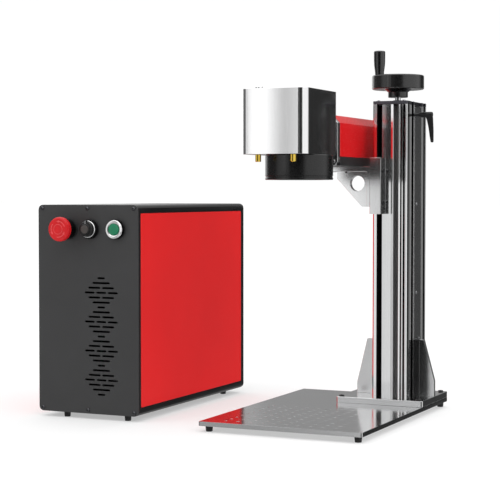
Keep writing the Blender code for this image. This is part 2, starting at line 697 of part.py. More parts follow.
def build_saddle():
    """The carriage on the column's front, with a tongue through the slot to the nut inside."""
    inner_z = (345.0, 411.0)
    saddle = join(
        prism("Z", rounded(*SADDLE_X, *SADDLE_Y, (0.8, 0.8, 0, 0), 2), *SADDLE_Z),
        block((317.2, 322.0), (240.0, 266.0), inner_z),
        prism("Z", [(317.2, 264.3), (357.0, 264.3), (357.0, 291.0), (354.0, 294.0),
                    (321.0, 294.0), (317.2, 291.0)], inner_z[0], inner_z[1]),
    )
    saddle = cut(saddle, rod("Z", SCREW_AXIS, 10.3, 330.0, 430.0, 24))
    add("saddle", saddle, "bracket_aluminium", smooth=False)
    nut = [(5.15, 340.0), (13.5, 340.0), (13.5, 344.7), (10.0, 344.7), (10.0, 413.0), (5.15, 413.0)]
    add("lead_nut", lathe("Z", SCREW_AXIS, nut, 24), "brass")


def build_bracket():
    arm = block((188.0, 304.7), (224.0, 300.0), ARM_Z)
    gusset = prism("Y", [(249.0, 403.0), (249.0, 390.0), (292.6, 343.9), (305.5, 343.9),
                         (305.5, 403.0)], 232.0, 241.5, [circle((284.5, 382.2), 12.75, 28)])
    pad = block((303.5, 309.0), (224.0, 241.5), (343.9, ARM_Z[1]))
    add("arm_bracket", join(arm, gusset, pad), "bracket_aluminium", smooth=False)


def housing_outline(inset, low, bottom_chamfer=0.0):
    """The housing's section seen from the front, chamfered at its top corners."""
    left, right = HOUSING_X[0] + inset, HOUSING_X[1] - inset
    top, chamfer = HOUSING_TOP - inset, HOUSING_CHAMFER - inset * 0.6
    points = [(right, top - chamfer), (right - chamfer, top), (left + chamfer, top),
              (left, top - chamfer)]
    if bottom_chamfer:
        return [(left, low + bottom_chamfer), (left + bottom_chamfer, low),
                (right - bottom_chamfer, low), (right, low + bottom_chamfer)] + points
    return [(left, low), (right, low)] + points


def build_housing():
    tray = cut(
        block(HOUSING_X, HOUSING_Y, HOUSING_TRAY_Z),
        block((HOUSING_X[0] + 8, HOUSING_X[1] - 8), (146.0, HOUSING_Y[1] - 7), (414.0, 430.0)),
    )
    add("housing_tray", tray, "housing_black", smooth=False)
    low = HOUSING_TRAY_Z[1] + GAP
    outer = housing_outline(0.0, low)
    inner = housing_outline(HOUSING_WALL, low)
    section = outer[1:] + outer[:1] + inner[:1] + inner[:0:-1]
    add("housing_cover", prism("Y", section, *HOUSING_Y), "housing_red", smooth=False)

    beam = (BEAM_X, BEAM_Z)
    plate = prism("Y", housing_outline(0.0, HOUSING_TRAY_Z[0], 6.0), 128.0, 139.0,
                  [circle(beam, 9.0, 20)])
    neck = prism("Y", rounded(190.0, 281.0, 430.0, 482.0, 4, 2), 121.0, 129.0,
                 [circle(beam, 9.0, 20)])
    add("adapter_plate", join(plate, neck), "head_metal", smooth=False)

    back = HOUSING_Y[1] + GAP
    rear = prism("Y", housing_outline(0.0, HOUSING_TRAY_Z[0]), back, back + 4.0,
                 [circle(beam, 6.3, 16)])
    add("housing_rear", rear, "housing_black", smooth=False)
    gland = [(3.0, back - 6), (6.0, back - 6), (6.0, back + 4.3), (9.5, back + 4.3),
             (9.5, back + 8.5), (7.5, back + 9.3), (7.0, back + 15.5), (5.8, back + 17.0),
             (3.0, back + 17.0)]
    add("fibre_gland", lathe("Y", beam, gland, 16), "screw_steel")

    tube = lathe("Y", beam, [(4.0, 150.0), (12.0, 150.0), (12.0, 196.0), (15.5, 200.0),
                             (15.5, 300.0), (10.0, 306.0), (10.0, 340.0), (4.0, 340.0)], 20)
    stand = block((BEAM_X - 14, BEAM_X + 14), (216.0, 256.0), (414.3, BEAM_Z - 9.0))
    add("beam_expander", join(tube, stand), "module_aluminium")


def tilted_blade(centre, half, thick):
    """The section of a mirror set at 45 degrees."""
    along = (math.sqrt(0.5), math.sqrt(0.5))
    across = (-along[1], along[0])
    return [
        (
            centre[0] + a * along[0] * half + b * across[0] * thick,
            centre[1] + a * along[1] * half + b * across[1] * thick,
        )
        for a, b in ((-1, -1), (1, -1), (1, 1), (-1, 1))
    ]


def build_head():
    corners = (HEAD_RADIUS, HEAD_RADIUS, 0, 0)
    wall = HEAD_WALL
    inner_radius = HEAD_RADIUS - wall
    hollow = rounded(HEAD_X[0] + wall, HEAD_X[1] - wall, HEAD_Y[0] + wall, HEAD_Y[1] - wall,
                     (inner_radius, inner_radius, 0, 0), 8)
    head = cut(
        prism("Z", rounded(*HEAD_X, *HEAD_Y, corners, 8), *HEAD_Z),
        prism("Z", hollow, HEAD_Z[0] + 5.0, HEAD_Z[1] - wall),
        rod("Z", LENS_AXIS, 34.0, 420.0, 435.0, 32),
        rod("Y", (BEAM_X, BEAM_Z), 9.0, 110.0, 125.0, 20),
    )
    add("galvo_head", head, "head_metal")

    low = LENS_BOTTOM
    wide = LENS_RADIUS
    barrel = [(40.0, low + 1.5), (41.5, low), (wide - 0.8, low), (wide, low + 0.8),
              (wide, 389.9), (wide - 0.8, 390.4), (wide - 0.8, 392.2), (wide, 392.7),
              (wide, 424.4), (wide - 0.7, 425.2), (33.6, 425.2), (33.6, 430.0), (30.0, 430.0),
              (30.0, 418.0), (44.6, 410.0), (44.6, 401.0), (40.0, 401.0)]
    add("lens_barrel", lathe("Z", LENS_AXIS, barrel, 48), "lens_black")
    glass = [(0, 403.0), (20.0, 402.0), (36.0, 401.3), (44.2, 401.3), (44.2, 408.6),
             (34.0, 411.6), (18.0, 413.8), (0, 414.6)]
    add("lens_glass", lathe("Z", LENS_AXIS, glass, 32), "lens_glass")
    for name, place in POINTERS.items():
        wide = POINTER_RADIUS
        tube = [(1.8, 414.2), (wide - 0.7, 413.8), (wide, 414.6), (wide, 425.2), (1.8, 425.2)]
        add(name, lathe("Z", place, tube, 16), "brass")
    low = HEAD_Z[1] + GAP
    knob = [(0, low), (5.7, low), (5.7, low + 2.6), (4.4, low + 4.2), (0, low + 4.7)]
    add("head_cap", lathe("Z", (205.0, 14.0), knob, 18), "chrome")


def build_scanner():
    """The first mirror turns about an upright shaft, the second about a shaft along Y."""
    first = (BEAM_X, LENS_AXIS[1])
    motor = lathe("Z", first, [(2.4, 482.0), (11.0, 482.0), (11.0, 522.0), (0, 522.0),
                               (0, 500.0), (2.4, 500.0)], 20)
    hanger = cut(
        block((184.4, first[0]), (first[1] - 7.0, first[1] + 7.0), (484.0, 489.0)),
        rod("Z", first, 6.0, 480.0, 495.0, 16),
    )
    add("galvo_motor_x", join(motor, hanger), "motor_black")
    shaft = rod("Z", first, 2.0, 474.0, 498.0, 12)
    mirror = prism("Z", tilted_blade(first, 9.0, 1.4), 460.0, 476.0)
    add("galvo_mirror_x", join(shaft, mirror), "mirror", (*first, 470.0), False)

    second = (LENS_AXIS[0], BEAM_Z)
    motor = lathe("Y", second, [(2.4, 80.0), (11.0, 80.0), (11.0, 117.2), (0, 117.2),
                                (0, 98.0), (2.4, 98.0)], 20)
    foot = block((second[0] - 8, second[0] + 8), (101.0, 116.0), (430.9, BEAM_Z - 8.0))
    add("galvo_motor_y", join(motor, foot), "motor_black")
    shaft = rod("Y", second, 2.0, 74.0, 96.0, 12)
    mirror = prism("Y", tilted_blade(second, 11.0, 1.4), 54.0, 76.0)
    add("galvo_mirror_y", join(shaft, mirror), "mirror", (second[0], 65.0, second[1]), False)


# ---------------------------------------------------------------- hand wheel and clamp lever

def build_handwheel():
    low, high = WHEEL_Z
    screw = rod("Z", SCREW_AXIS, SCREW_RADIUS, 28.0, 552.0, 20)
    add("lead_screw", screw, "screw_steel", (*SCREW_AXIS, 540.0))
    radius = WHEEL_RADIUS
    wheel = lathe("Z", SCREW_AXIS, [
        (5.15, 524.4), (15.8, 524.4), (16.5, 525.1), (16.5, 533.0), (22.8, low),
        (radius - 1.2, low), (radius, low + 1.2), (radius, high - 2.0),
        (radius - 0.6, high - 0.6), (radius - 2.0, high), (36.4, high), (35.6, high - 0.8),
        (35.0, 552.5), (11.5, 549.5), (11.0, 555.5), (10.2, 556.0), (5.15, 556.0),
    ], 40)
    seat = rod("Z", HANDLE_AXIS, 7.0, 546.0, 560.4, 16)
    pin = rod("Z", HANDLE_AXIS, 2.4, 546.0, 594.0, 12)
    add("handwheel", join(wheel, seat, pin), "wheel_black", (*SCREW_AXIS, 549.0))
    handle = [(2.7, 561.0), (6.8, 561.0), (7.4, 561.7), (7.5, 564.0), (7.7, 567.5), (8.4, 572.5),
              (9.1, 578.0), (9.4, 584.0), (9.5, 591.0), (9.5, 599.6), (9.0, 600.8),
              (7.9, HANDLE_TOP), (0, HANDLE_TOP), (0, 595.0), (2.7, 595.0)]
    add("crank_handle", lathe("Z", HANDLE_AXIS, handle, 24), "wheel_black", (*HANDLE_AXIS, 580.0))


def build_clamp_lever():
    axis = (LEVER_Y, LEVER_Z)
    hub = lathe("X", axis, [(0, 373.6), (3.0, 373.6), (3.4, 375.5), (4.6, 381.0), (4.85, 394.5),
                            (4.4, 396.8), (3.2, 397.4), (0, 397.4)], 20)
    arm = prism("Y", [(386.0, 494.0), (396.4, 495.2), (397.2, 490.0), (398.2, 470.0),
                      (398.2, 451.0), (397.2, 449.6), (395.4, 449.8), (393.8, 458.0),
                      (391.4, 474.0), (388.4, 487.0)], LEVER_Y - 3.4, LEVER_Y + 3.4)
    add("clamp_lever", join(hub, arm), "wheel_black", (385.0, LEVER_Y, LEVER_Z))
    stud = rod("X", axis, 2.6, 356.0, 373.3, 14)
    add("clamp_stud", stud, "screw_steel", (366.0, LEVER_Y, LEVER_Z))


def main():
    for obj in list(bpy.data.objects):
        bpy.data.objects.remove(obj)
    build_cabinet_case()
    build_rear_panel()
    build_fan()
    build_cabinet_modules()
    build_controls()
    build_base()
    build_column()
    build_gussets()
    build_saddle()
    build_bracket()
    build_housing()
    build_head()
    build_scanner()
    build_handwheel()
    build_clamp_lever()


main()
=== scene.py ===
"""Looks of the split fibre laser engraver: materials, small fittings, studio light and camera.

Everything is in metres in the row frame. Each fitting rides on the CAD body that carries it.
"""

import json
import math

import bmesh
import bpy
from mathutils import Matrix, Vector


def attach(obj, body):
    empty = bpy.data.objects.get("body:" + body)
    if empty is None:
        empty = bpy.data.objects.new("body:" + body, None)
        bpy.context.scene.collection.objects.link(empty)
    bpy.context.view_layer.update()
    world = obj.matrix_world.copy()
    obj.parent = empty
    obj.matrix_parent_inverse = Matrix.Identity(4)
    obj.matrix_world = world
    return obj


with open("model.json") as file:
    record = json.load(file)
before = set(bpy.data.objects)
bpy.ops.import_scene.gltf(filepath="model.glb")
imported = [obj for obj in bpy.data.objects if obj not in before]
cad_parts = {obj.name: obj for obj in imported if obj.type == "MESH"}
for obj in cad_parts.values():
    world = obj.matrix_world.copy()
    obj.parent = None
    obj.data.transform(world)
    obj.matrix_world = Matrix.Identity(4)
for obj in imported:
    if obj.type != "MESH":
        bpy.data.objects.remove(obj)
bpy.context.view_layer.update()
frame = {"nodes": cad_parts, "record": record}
NODES = frame["nodes"]

MM = 0.001
LAYOUT_CENTRE = (106.5, 190.85)  # the CAD's layout millimetres, moved to the row frame's origin

# ---------------------------------------------------------------- node materials


class Graph:
    """A material's node tree with one Principled shader, built by short calls."""

    def __init__(self, name):
        self.material = bpy.data.materials.new(name)
        self.material.use_nodes = True
        self.tree = self.material.node_tree
        self.shader = self.tree.nodes["Principled BSDF"]
        self.place = self.node("ShaderNodeTexCoord").outputs["Object"]

    def link(self, source, target):
        self.tree.links.new(source, target)

    def node(self, kind, inputs=None, **settings):
        made = self.tree.nodes.new(kind)
        for key, value in settings.items():
            setattr(made, key, value)
        for key, value in (inputs or {}).items():
            if isinstance(value, bpy.types.NodeSocket):
                self.link(value, made.inputs[key])
            else:
                made.inputs[key].default_value = value
        return made

    def set(self, **values):
        for key, value in values.items():
            socket = self.shader.inputs[key.replace("_", " ")]
            if isinstance(value, bpy.types.NodeSocket):
                self.link(value, socket)
            elif socket.type == "RGBA":
                socket.default_value = (*value, 1.0)
            else:
                socket.default_value = value
        return self

    def noise(self, scale, stretch=(1.0, 1.0, 1.0), detail=3.0, distortion=0.0, rough=0.5):
        """Noise whose grain is 1 / scale metres, drawn out where stretch is under 1."""
        mapped = self.node(
            "ShaderNodeMapping",
            {"Vector": self.place, "Scale": [scale * s for s in stretch]},
        )
        made = self.node(
            "ShaderNodeTexNoise",
            {
                "Vector": mapped.outputs[0],
                "Scale": 1.0,
                "Detail": detail,
                "Roughness": rough,
                "Distortion": distortion,
            },
        )
        return made.outputs["Fac"]

    def cells(self, scale):
        mapped = self.node("ShaderNodeMapping", {"Vector": self.place, "Scale": [scale] * 3})
        made = self.node("ShaderNodeTexVoronoi", {"Vector": mapped.outputs[0], "Scale": 1.0})
        return made.outputs["Distance"]

    def spread(self, value, low, high, start=0.3, end=0.7):
        """value from start to end, as a number from low to high."""
        made = self.node(
            "ShaderNodeMapRange",
            {"Value": value, "From Min": start, "From Max": end, "To Min": low, "To Max": high},
        )
        return made.outputs["Result"]

    def between(self, fac, first, second):
        """The colour first where fac is 0, second where it is 1."""
        made = self.node("ShaderNodeMix", data_type="RGBA")
        for socket, value in zip((made.inputs[0], made.inputs[6], made.inputs[7]), (fac, first, second)):
            if isinstance(value, bpy.types.NodeSocket):
                self.link(value, socket)
            else:
                socket.default_value = (*value, 1.0)
        return made.outputs[2]

    def within(self, box):
        """1 inside the box (low x, high x, low y, high y) of the row frame, 0 outside."""
        parts = self.node("ShaderNodeSeparateXYZ", {0: self.place}).outputs
        tests = []
        for socket, limit, test in ((parts["X"], box[0], "GREATER_THAN"), (parts["X"], box[1], "LESS_THAN"),
                                    (parts["Y"], box[2], "GREATER_THAN"), (parts["Y"], box[3], "LESS_THAN")):
            tests.append(self.node("ShaderNodeMath", {0: socket, 1: limit}, operation=test).outputs[0])
        both = tests[0]
        for other in tests[1:]:
            both = self.node("ShaderNodeMath", {0: both, 1: other}, operation="MULTIPLY").outputs[0]
        return both

    def relief(self, height, depth, strength=1.0):
        """A bump of that depth in metres."""
        inputs = {"Height": height, "Distance": depth, "Strength": strength}
        return self.node("ShaderNodeBump", inputs).outputs["Normal"]


def shade(colour, factor):
    return tuple(min(1.0, c * factor) for c in colour)


def powder_coat(name, colour, rough=0.45, grain=2600, depth=0.00004, gloss=0.5):
    """Sprayed and baked paint: a fine orange peel, with faint handling marks."""
    g = Graph(name)
    peel = g.noise(grain, detail=2)
    marks = g.noise(14, detail=5, distortion=1.2)
    g.set(
        Base_Color=g.between(g.spread(marks, 0, 1), shade(colour, 0.93), shade(colour, 1.07)),
        Roughness=g.spread(marks, rough - 0.05, rough + 0.06),
        Normal=g.relief(peel, depth, 0.6),
        Specular_IOR_Level=gloss,
    )
    return g.material


def satin_paint(name, colour, rough, outside=None, gloss=0.5):
    """Smooth lacquer on sheet metal. outside gives (centre x, half width): nearer in, the colour is almost
    black.
    """
    g = Graph(name)
    peel = g.noise(900, detail=3)
    waves = g.noise(7, detail=2)
    dust = g.noise(420, detail=6, rough=0.7)
    paint = g.between(g.spread(waves, 0, 1), shade(colour, 0.97), shade(colour, 1.03))
    if outside:
        across = g.node("ShaderNodeSeparateXYZ", {0: g.place}).outputs["X"]
        away = g.node("ShaderNodeMath", {0: across, 1: -outside[0]}, operation="ADD").outputs[0]
        away = g.node("ShaderNodeMath", {0: away}, operation="ABSOLUTE").outputs[0]
        skin = g.node("ShaderNodeMath", {0: away, 1: outside[1]}, operation="GREATER_THAN")
        paint = g.between(skin.outputs[0], (0.01, 0.01, 0.01), paint)
    g.set(
        Base_Color=paint,
        Roughness=g.spread(dust, rough - 0.03, rough + 0.04),
        Normal=g.relief(peel, 0.000006, 0.5),
        Specular_IOR_Level=gloss,
    )
    return g.material


def brushed(name, colour, rough, stretch, depth=0.0000006, grain=2600, painted_shade_boxes=()):
    """Metal with fine parallel lines, long where stretch is small.

    The boxes in the last argument hold (box, tone, extra roughness): inside each box the colour is painted a
    flat dark tone, as painted shade and painted dark reflection, and the metal is made rougher.
    """
    g = Graph(name)
    lines = g.noise(grain, stretch, detail=4, rough=0.65)
    cloud = g.noise(9, detail=3)
    tone = g.between(g.spread(lines, 0.0, 1.0), shade(colour, 0.94), shade(colour, 1.04))
    finish = g.spread(cloud, rough - 0.008, rough + 0.012)
    # painted shade: inside each box the colour becomes a flat dark tone
    for box, dark, duller in painted_shade_boxes:
        inside = g.within(box)
        tone = g.between(inside, tone, (dark, dark, dark))
        rougher = {0: inside, 1: duller, 2: finish}
        finish = g.node("ShaderNodeMath", rougher, operation="MULTIPLY_ADD").outputs[0]
    g.set(
        Base_Color=tone,
        Metallic=1.0,
        Roughness=finish,
        Normal=g.relief(lines, depth, 0.4),
    )
    return g.material


def moulded(name, colour, rough, grain=1800, depth=0.00003, gloss=0.5):
    """Moulded plastic with a spark-eroded texture."""
    g = Graph(name)
    pits = g.cells(grain)
    rub = g.noise(60, detail=5, rough=0.6)
    g.set(
        Base_Color=g.between(g.spread(rub, 0, 1), shade(colour, 0.9), shade(colour, 1.12)),
        Roughness=g.spread(rub, rough - 0.05, rough + 0.07),
        Normal=g.relief(pits, depth, 0.5),
        Specular_IOR_Level=gloss,
    )
    return g.material


def plated(name, colour, rough):
    """Polished plating with a trace of haze."""
    g = Graph(name)
    haze = g.noise(140, detail=5)
    g.set(
        Base_Color=g.between(g.spread(haze, 0, 1), shade(colour, 0.96), shade(colour, 1.02)),
        Metallic=1.0,
        Roughness=g.spread(haze, rough * 0.7, rough * 1.5),
        Normal=g.relief(g.noise(700, detail=2), 0.000004, 0.4),
    )
    return g.material


def turned(name, colour, rough, axis, centre, metallic=1.0, pitch=0.00035, depth=0.000003, coat=0.0):
    """A turned part, with the tool's fine rings round its axis."""
    g = Graph(name)
    away = [1.0, 1.0, 1.0]
    away["XYZ".index(axis)] = 0.0
    moved = g.node(
        "ShaderNodeVectorMath", {0: g.place, 1: tuple(-c for c in centre)}, operation="ADD"
    )
    flat = g.node("ShaderNodeVectorMath", {0: moved.outputs[0], 1: away}, operation="MULTIPLY")
    radius = g.node("ShaderNodeVectorMath", {0: flat.outputs[0]}, operation="LENGTH")
    along = g.node("ShaderNodeSeparateXYZ", {0: moved.outputs[0]}).outputs["XYZ".index(axis)]
    path = g.node("ShaderNodeMath", {0: radius.outputs["Value"], 1: along}, operation="ADD")
    turns = g.node("ShaderNodeMath", {0: path.outputs[0], 1: 2 * math.pi / pitch}, operation="MULTIPLY")
    wave = g.node("ShaderNodeMath", {0: turns.outputs[0]}, operation="SINE").outputs[0]
    haze = g.noise(220, detail=4)
    g.set(
        Base_Color=g.between(g.spread(haze, 0, 1), shade(colour, 0.9), shade(colour, 1.08)),
        Metallic=metallic,
        Roughness=g.spread(haze, rough - 0.04, rough + 0.05),
        Normal=g.relief(wave, depth, 0.5),
        Coat_Weight=coat,
    )
    return g.material


def rubber(name, colour):
    g = Graph(name)
    skin = g.noise(1500, detail=4)
    chalk = g.noise(90, detail=5)
    g.set(
        Base_Color=g.between(g.spread(chalk, 0, 1), colour, shade(colour, 2.0)),
        Roughness=g.spread(chalk, 0.55, 0.78),
        Normal=g.relief(skin, 0.00008, 0.5),
    )
    return g.material


def circuit_board(name, colour):
    """Solder mask over tracks."""
    g = Graph(name)
    mapped = g.node("ShaderNodeMapping", {"Vector": g.place, "Scale": (260, 260, 260)})
    brick = g.node(
        "ShaderNodeTexBrick",
        {
            "Vector": mapped.outputs[0],
            "Color1": (*shade(colour, 1.5), 1),
            "Color2": (*colour, 1),
            "Mortar": (*shade(colour, 0.6), 1),
            "Scale": 1.0,
            "Mortar Size": 0.06,
        },
    )
    g.set(
        Base_Color=brick.outputs["Color"],
        Roughness=g.spread(g.noise(300), 0.3, 0.5),
        Normal=g.relief(brick.outputs["Fac"], 0.00006, 0.6),
    )
    return g.material


def coated_glass(name, colour):
    """Lens glass with a violet coating that shows at a slant."""
    g = Graph(name)
    rim = g.node("ShaderNodeLayerWeight", {"Blend": 0.35}).outputs["Facing"]
    g.set(
        Base_Color=g.between(rim, colour, (0.25, 0.12, 0.4)),
        Roughness=0.03,
        Transmission_Weight=0.85,
        IOR=1.5,
        Normal=g.relief(g.noise(30, detail=1), 0.00001, 0.2),
    )
    return g.material


UPRIGHT = (1.0, 1.0, 0.012)
ACROSS = (0.012, 1.0, 1.0)
DEEP = (1.0, 0.012, 1.0)


def axis_point(x, y, z):
    """A point in layout millimetres, in the row frame."""
    return ((x - LAYOUT_CENTRE[0]) * MM, (y - LAYOUT_CENTRE[1]) * MM, z * MM)


SCREW_AXIS = axis_point(339.0, 277.0, 0.0)
LENS_AXIS = axis_point(250.3, 65.1, 0.0)
HANDLE_AXIS = axis_point(310.1, 267.0, 0.0)

CABINET_MIDDLE_X = axis_point(-92.6, 0.0, 0.0)[0]
PANEL_SKIN = 0.0916  # from the cabinet's middle to just inside its side panels' outer faces


def painted_shade_box(low_x, high_x, low_y, high_y):
    """A box of the layout's millimetres in row-frame metres, where brushed() paints shade."""
    low = axis_point(low_x, low_y, 0.0)
    high = axis_point(high_x, high_y, 0.0)
    return (low[0], high[0], low[1], high[1])


# Painted shade and painted dark reflection on the column: its side grooves, front slots, the right part of
# its front pad and the faces inside its outline get a flat dark colour and extra roughness, as (box, tone,
# extra roughness).
COLUMN_PAINTED_SHADE = (
    (painted_shade_box(360.8, 366.9, 268.7, 275.85), 0.012, 0.3),
    (painted_shade_box(360.8, 366.9, 330.3, 336.45), 0.012, 0.3),
    (painted_shade_box(313.0, 323.6, 244.3, 264.0), 0.2, 0.3),
    (painted_shade_box(314.0, 361.0, 262.0, 337.5), 0.12, 0.3),
    (painted_shade_box(342.6, 351.1, 247.6, 262.0), 0.5, 0.3),
    (painted_shade_box(353.6, 356.4, 247.3, 262.0), 0.03, 0.3),
    (painted_shade_box(358.6, 363.5, 243.2, 262.0), 0.03, 0.3),
)
# Painted dark reflection: a strip on the bracket's side gets a flat dark colour, as (box, tone, extra
# roughness).
BRACKET_PAINTED_REFLECTION = ((painted_shade_box(368.2, 369.6, 274.0, 304.9), 0.12, 0.0),)

MATERIALS = {
    "cabinet_black": powder_coat("cabinet_black_paint", (0.008, 0.0085, 0.009), 0.32, 2400, 0.00001, 0.35),
    "panel_grey": powder_coat("panel_grey_paint", (0.038, 0.038, 0.039), 0.48, 3000, 0.00002),
    "panel_red": satin_paint("panel_red_paint", (0.83, 0.014, 0.016), 0.34, gloss=0.25,
                             outside=(CABINET_MIDDLE_X, PANEL_SKIN)),
    "rubber": rubber("foot_rubber", (0.008, 0.008, 0.009)),
    "estop_black": moulded("collar_plastic", (0.003, 0.003, 0.0032), 0.4, gloss=0.15),
    "estop_red": moulded("estop_plastic", (0.60, 0.008, 0.012), 0.36, 2400, 0.00001, gloss=0.3),
    "estop_print": moulded("estop_print", (0.74, 0.06, 0.065), 0.4, 2400, 0.00001),
    "chrome": plated("bezel_chrome", (0.93, 0.93, 0.935), 0.14),
    "insert_brown": moulded("insert_plastic", (0.055, 0.047, 0.043), 0.42),
    "knob_black": moulded("knob_plastic", (0.006, 0.006, 0.0063), 0.34, gloss=0.4),
    "start_green": moulded("start_plastic", (0.003, 0.19, 0.085), 0.3, 2600, 0.000008),
    "module_aluminium": brushed("module_metal", (0.62, 0.63, 0.65), 0.38, DEEP),
    "psu_steel": brushed("zinc_sheet", (0.55, 0.56, 0.57), 0.36, (1, 1, 1), grain=500),
    "board_green": circuit_board("board_mask", (0.012, 0.09, 0.04)),
    "fan_black": moulded("fan_plastic", (0.018, 0.018, 0.019), 0.5),
    "plate_aluminium": brushed("plate_metal", (0.74, 0.745, 0.75), 0.15, ACROSS),
    "column_aluminium": brushed("column_metal", (0.88, 0.885, 0.89), 0.10, UPRIGHT, 0.0000002,
                                painted_shade_boxes=COLUMN_PAINTED_SHADE),
    "cap_dark": brushed("cap_metal", (0.13, 0.13, 0.15), 0.3, DEEP),
    "bracket_aluminium": brushed("bracket_metal", (0.84, 0.845, 0.85), 0.2, UPRIGHT, grain=1900,
                                 painted_shade_boxes=BRACKET_PAINTED_REFLECTION),
    "screw_steel": turned("turned_steel", (0.62, 0.62, 0.63), 0.18, "Z", SCREW_AXIS),
    "brass": turned("turned_brass", (0.86, 0.60, 0.10), 0.16, "Z", LENS_AXIS),
    "housing_black": powder_coat("tray_black", (0.018, 0.018, 0.019), 0.36, 3200, 0.00001),
    "housing_red": satin_paint("housing_red_paint", (0.70, 0.006, 0.009), 0.25),
    "head_metal": brushed("head_metal_satin", (0.90, 0.90, 0.905), 0.15, UPRIGHT, 0.0000004, 3200),
    "motor_black": powder_coat("motor_black", (0.03, 0.03, 0.032), 0.4),
    "mirror": plated("mirror_coating", (0.93, 0.86, 0.66), 0.02),
    "lens_black": turned("lens_anodised", (0.006, 0.006, 0.0062), 0.24, "Z", LENS_AXIS, 0.0,
                         0.0008, 0.000006),
    "lens_glass": coated_glass("lens_coated_glass", (0.75, 0.82, 0.9)),
    "wheel_black": turned("wheel_phenolic", (0.006, 0.006, 0.0062), 0.3, "Z", SCREW_AXIS, 0.0,
                          0.0011, 0.000003, 0.5),
    "handle_black": turned("handle_phenolic", (0.004, 0.004, 0.0042), 0.22, "Z", HANDLE_AXIS, 0.0,
                           0.0013, 0.000003, 0.6),
    "socket_black": powder_coat("blackened_steel", (0.012, 0.012, 0.013), 0.3, 4000, 0.00002),
    "zinc": plated("zinc_screw", (0.78, 0.78, 0.80), 0.16),
    "dull_zinc": plated("dull_screw", (0.30, 0.30, 0.31), 0.3),
    "black_nickel": plated("black_nickel", (0.13, 0.13, 0.14), 0.14),
}

LOOK_OF = {"clamp_lever": "knob_black", "clamp_stud": "socket_black", "crank_handle": "handle_black"}
SLOT_OF = {entry["node"]: entry["material_slot"] for entry in frame["record"]["subparts"]}


# ---------------------------------------------------------------- CAD nodes: finish and softened edges

EDGE_WIDTH = {
    "cabinet_shell": 0.6,
    "front_panel": 0.35,
    "side_panel_left": 0.5,
    "side_panel_right": 0.5,
    "base_plate": 0.2,
    "column_plate": 0.45,
    "column": 0.12,
    "side_cover": 0.15,
    "galvo_head": 0.4,
    "adapter_plate": 0.6,
    "housing_cover": 0.9,
    "saddle": 0.35,
    "gusset_left": 0.2,
    "gusset_right": 0.2,
    "handwheel": 0.5,
}
DEFAULT_EDGE = 0.3
PLAIN_EDGES = {"control_board", "fan_rotor", "fan_frame", "rear_panel", "galvo_mirror_x",
               "galvo_mirror_y", "lens_glass"}
CREASE = 18.0  # degrees between neighbouring faces above which an edge is shaded sharp
CREASE_OF = {"column": 2.0, "column_cap": 12.0}
WELD_DISTANCE = 0.000005
FLAT_ANGLE = 0.6  # degrees below which two faces count as one flat
BEVEL_ANGLE = 50.0  # degrees above which an edge is rounded


def crease_group():
    """Geometry nodes that smooth every face and sharpen each edge that turns more than Angle."""
    group = bpy.data.node_groups.new("crease", "GeometryNodeTree")
    group.interface.new_socket("Geometry", in_out="INPUT", socket_type="NodeSocketGeometry")
    limit = group.interface.new_socket("Angle", in_out="INPUT", socket_type="NodeSocketFloat")
    group.interface.new_socket("Geometry", in_out="OUTPUT", socket_type="NodeSocketGeometry")
    begin = group.nodes.new("NodeGroupInput")
    end = group.nodes.new("NodeGroupOutput")
    smooth = group.nodes.new("GeometryNodeSetShadeSmooth")
    smooth.domain = "FACE"
    sharp = group.nodes.new("GeometryNodeSetShadeSmooth")
    sharp.domain = "EDGE"
    sharp.inputs["Shade Smooth"].default_value = False
    turn = group.nodes.new("GeometryNodeInputMeshEdgeAngle")
    over = group.nodes.new("FunctionNodeCompare")
    over.data_type = "FLOAT"
    over.operation = "GREATER_THAN"
    group.links.new(begin.outputs["Geometry"], smooth.inputs["Geometry"])
    group.links.new(smooth.outputs["Geometry"], sharp.inputs["Geometry"])
    group.links.new(turn.outputs["Unsigned Angle"], over.inputs["A"])
    group.links.new(begin.outputs["Angle"], over.inputs["B"])
    group.links.new(over.outputs["Result"], sharp.inputs["Selection"])
    group.links.new(sharp.outputs["Geometry"], end.inputs["Geometry"])
    return group, limit.identifier


CREASE_GROUP, CREASE_INPUT = crease_group()


def crease(obj, angle):
    shading = obj.modifiers.new("crease", "NODES")
    shading.node_group = CREASE_GROUP
    shading[CREASE_INPUT] = math.radians(angle)


def weld(obj):
    obj.modifiers.new("weld", "WELD").merge_threshold = WELD_DISTANCE


def soften(obj, width_mm):
    """Clears the welded mesh's flat triangles and rounds its edges a little."""
    clear = obj.modifiers.new("clear_flats", "DECIMATE")
    clear.decimate_type = "DISSOLVE"
    clear.angle_limit = math.radians(FLAT_ANGLE)
    bevel = obj.modifiers.new("edges", "BEVEL")
    bevel.width = width_mm * MM
    bevel.segments = 2
    bevel.limit_method = "ANGLE"
    bevel.angle_limit = math.radians(BEVEL_ANGLE)
    bevel.use_clamp_overlap = True


def finish_nodes():
    for name, obj in NODES.items():
        obj.data.materials.clear()
        obj.data.materials.append(MATERIALS[LOOK_OF.get(name, SLOT_OF[name])])
        obj.data.shade_smooth()
        weld(obj)
        if name not in PLAIN_EDGES:
            soften(obj, EDGE_WIDTH.get(name, DEFAULT_EDGE))
        crease(obj, CREASE_OF.get(name, CREASE))


finish_nodes()


# ---------------------------------------------------------------- shapes for the small fittings

TURN = {
    "+X": Matrix(((0, 0, 1), (0, 1, 0), (-1, 0, 0))).to_4x4(),
    "-X": Matrix(((0, 0, -1), (0, 1, 0), (1, 0, 0))).to_4x4(),
    "+Y": Matrix(((1, 0, 0), (0, 0, 1), (0, -1, 0))).to_4x4(),
    "-Y": Matrix(((1, 0, 0), (0, 0, -1), (0, 1, 0))).to_4x4(),
    "+Z": Matrix.Identity(4),
    "-Z": Matrix(((1, 0, 0), (0, -1, 0), (0, 0, -1))).to_4x4(),
}


